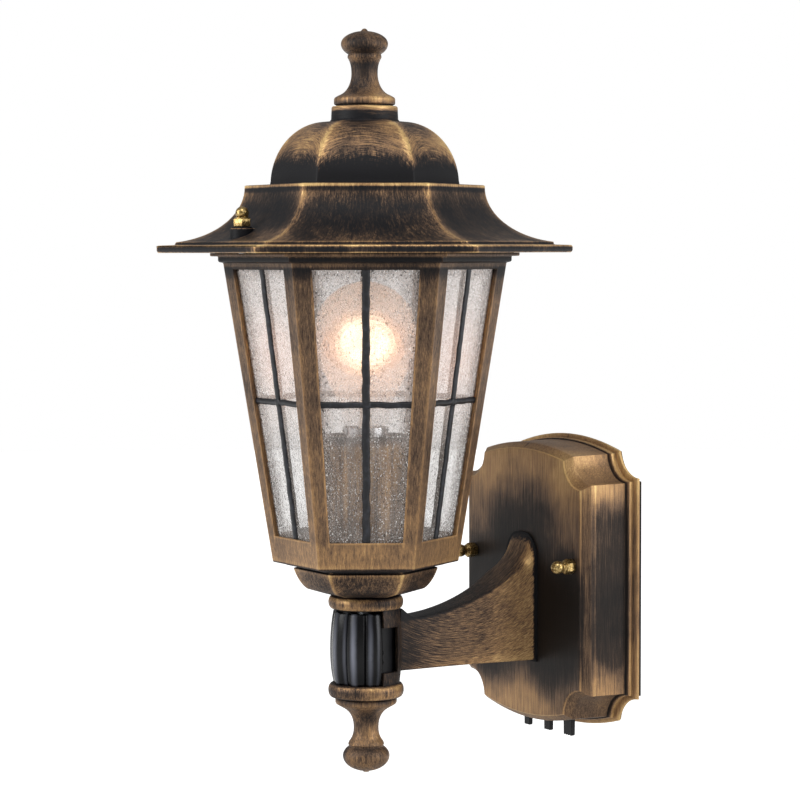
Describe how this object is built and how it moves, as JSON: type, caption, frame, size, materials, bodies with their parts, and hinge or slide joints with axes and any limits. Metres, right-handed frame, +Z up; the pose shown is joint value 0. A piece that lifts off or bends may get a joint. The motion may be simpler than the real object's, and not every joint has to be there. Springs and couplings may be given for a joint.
{
  "type": "outdoor wall lantern",
  "caption": "Six-sided wall lantern with domed roof, seeded glass panes and an arm with a motion sensor barrel, in brushed antique bronze.",
  "frame": {"origin": "on the wall, at the middle of the two box screws in the mounting plate's back face", "axes": "+Y into the wall, +X to the right as seen from the front, +Z up"},
  "size_m": [0.2416, 0.2516, 0.4324],
  "materials": {
    "bronze": "black base coat with dry-brushed gold bronze, satin",
    "brass_nut": "polished brass with dark speckle",
    "seal_rubber": "matte",
    "seeded_glass": "lightly frosted, seeded with small bubbles",
    "lead": "hand-drawn black, semi-matte",
    "sleeve_paint": "brushed brown bronze",
    "porcelain": "glazed white",
    "contact_brass": "plain brass",
    "lamp_glass": "frosted, emissive when lit",
    "clear_glass": "clear",
    "filament": "glowing coil",
    "bright_metal": "bright nickel plate",
    "zinc_steel": "zinc plated",
    "lens_black": "glossy black, infrared-clear",
    "black_plastic": "matte black",
    "circuit_board": "green solder mask",
    "photocell_face": "clear face over a red track",
    "relay_case": "blue",
    "capacitor_film": "orange",
    "green_steel": "green"
  },
  "bodies": {
    "fixture": {"roof_studs": "zinc_steel", "cage": "bronze", "glass_pane_1": "seeded_glass", "glass_pane_2": "seeded_glass", "glass_pane_3": "seeded_glass", "glass_pane_4": "seeded_glass", "glass_pane_5": "seeded_glass", "glass_pane_6": "seeded_glass", "lead_came_1": "lead", "lead_came_2": "lead", "lead_came_3": "lead", "lead_came_4": "lead", "lead_came_5": "lead", "lead_came_6": "lead", "pane_clips": "zinc_steel", "base_cup": "bronze", "socket_sleeve": "sleeve_paint", "lampholder": "porcelain", "screw_shell": "contact_brass", "centre_contact": "contact_brass", "threaded_tube": "zinc_steel", "tube_nut": "zinc_steel", "neck_ring": "bronze", "arm": "bronze", "arm_gasket": "seal_rubber", "arm_screws": "zinc_steel", "sensor_lens": "lens_black", "sensor_core": "black_plastic", "sensor_board": "circuit_board", "pyro_sensor": "zinc_steel", "photocell": "photocell_face", "lower_ring": "bronze", "bottom_finial": "bronze", "backplate": "bronze", "wall_gasket": "seal_rubber", "mounting_plate": "zinc_steel", "mounting_studs": "zinc_steel", "stud_nuts": "zinc_steel", "plate_cap_nuts": "brass_nut", "ground_screw": "green_steel", "control_board": "circuit_board", "board_pillars": "black_plastic", "relay": "relay_case", "capacitor": "capacitor_film", "switch_bodies": "black_plastic"},
    "roof_cap": {"roof": "bronze", "top_finial": "bronze", "finial_seal": "seal_rubber", "finial_stud": "zinc_steel", "finial_nut": "zinc_steel", "roof_nut_seals": "seal_rubber"},
    "front_nut": {"roof_nut_front": "brass_nut"},
    "rear_nut": {"roof_nut_rear": "brass_nut"},
    "bulb": {"bulb_glass": "lamp_glass", "bulb_base": "bright_metal", "bulb_stem": "clear_glass", "bulb_filament": "filament"},
    "on_time_knob": {"on_time_knob": "black_plastic"},
    "range_knob": {"range_knob": "black_plastic"},
    "mode_knob": {"mode_knob": "black_plastic"}
  },
  "joints": [
    {"name": "roof_lift", "type": "slide", "parent": "fixture", "child": "roof_cap", "axis": [0, 0, 1], "range_m": [0, 0.09]},
    {"name": "front_nut_turn", "type": "hinge", "parent": "roof_cap", "child": "front_nut", "pos_m": [0, -0.2272, 0.218], "axis": [0, 0, 1], "continuous": true},
    {"name": "rear_nut_turn", "type": "hinge", "parent": "roof_cap", "child": "rear_nut", "pos_m": [0, -0.0668, 0.218], "axis": [0, 0, 1], "continuous": true},
    {"name": "bulb_turn", "type": "hinge", "parent": "fixture", "child": "bulb", "pos_m": [0, -0.147, 0.12], "axis": [0, 0, 1], "continuous": true},
    {"name": "on_time_knob_slide", "type": "slide", "parent": "fixture", "child": "on_time_knob", "axis": [1, 0, 0], "range_m": [-0.004, 0.004]},
    {"name": "range_knob_slide", "type": "slide", "parent": "fixture", "child": "range_knob", "axis": [1, 0, 0], "range_m": [-0.004, 0.004]},
    {"name": "mode_knob_slide", "type": "slide", "parent": "fixture", "child": "mode_knob", "axis": [1, 0, 0], "range_m": [-0.004, 0.004]}
  ]
}
